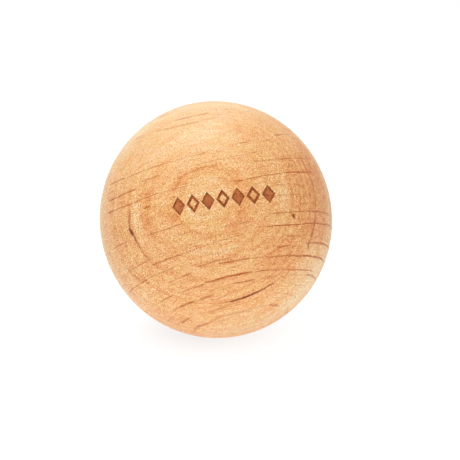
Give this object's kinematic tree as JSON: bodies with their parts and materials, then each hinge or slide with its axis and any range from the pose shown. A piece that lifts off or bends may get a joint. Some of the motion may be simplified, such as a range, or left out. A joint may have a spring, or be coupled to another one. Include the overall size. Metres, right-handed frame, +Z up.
{
  "type": "wooden ball",
  "caption": "Solid turned wooden ball for the hand, sanded smooth and oiled, slightly shorter along the grain than across it.",
  "frame": {"origin": "middle of the ball", "axes": "+Z up and -Y towards the viewer; the grain and the lathe's axis lie in the XZ plane and rise 15 degrees from +X towards +Z"},
  "size_m": [0.0686, 0.07, 0.0699],
  "materials": {
    "oiled_alder": "satin"
  },
  "bodies": {
    "root": {"ball": "oiled_alder"}
  },
  "joints": []
}
